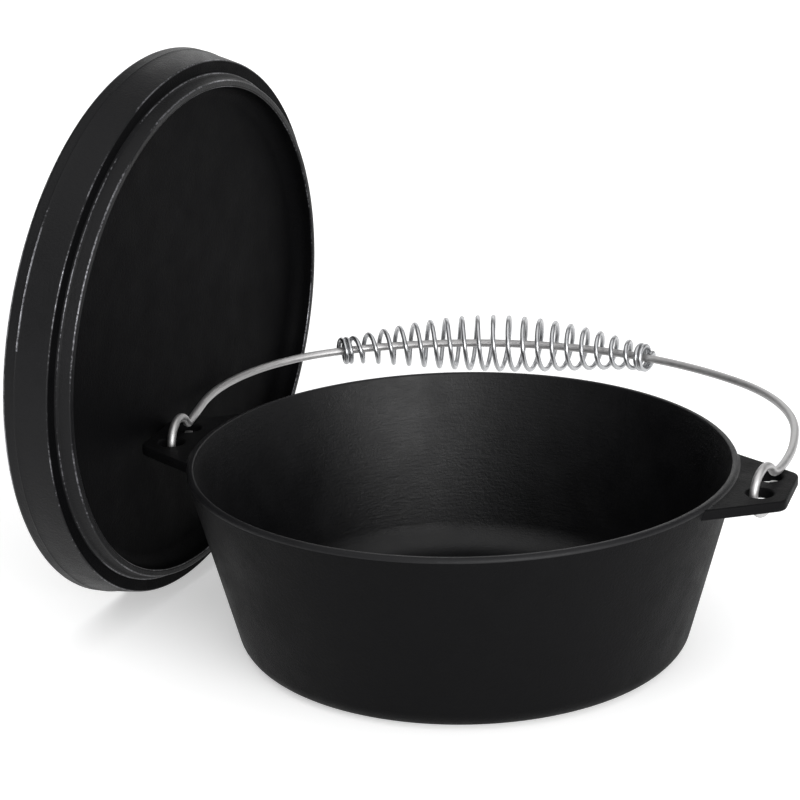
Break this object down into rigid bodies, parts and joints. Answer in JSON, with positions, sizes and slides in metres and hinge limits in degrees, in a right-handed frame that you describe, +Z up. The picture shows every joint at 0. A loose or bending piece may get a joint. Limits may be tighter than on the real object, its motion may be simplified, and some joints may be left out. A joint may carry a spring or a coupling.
{
  "type": "dutch oven with wire bail",
  "caption": "Flat-bottomed cast iron dutch oven with pierced ears, a wire bail with a coiled grip, and a separate lid with a raised coal rim, shown leaning on one ear.",
  "frame": {"origin": "centre of the pot's flat base, on the surface that it stands on", "axes": "+Z up through the pot's axis, +X from the ear on which the lid leans to the other ear, +Y to the side on which the bail lies"},
  "size_m": [0.4104, 0.3612, 0.3233],
  "materials": {
    "iron": "satin",
    "bail_wire": "satin",
    "grip_wire": "satin"
  },
  "bodies": {
    "pot": {"pot": "iron"},
    "bail": {"bail": "bail_wire"},
    "grip": {"grip_spring": "grip_wire"},
    "lid": {"lid": "iron"}
  },
  "joints": [
    {"name": "bail_swing", "type": "hinge", "parent": "pot", "child": "bail", "pos_m": [0, 0, 0.104], "axis": [1, 0, 0], "range_deg": [0, 145]},
    {"name": "grip_slide", "type": "hinge", "parent": "bail", "child": "grip", "pos_m": [0, -0.03399, 0.1078], "axis": [0, 0.0349, -0.9994], "range_deg": [-1, 17]},
    {"name": "lid_away", "type": "slide", "parent": "pot", "child": "lid", "axis": [-0.9925, 0.1219, 0], "range_m": [0, 0.15]}
  ]
}
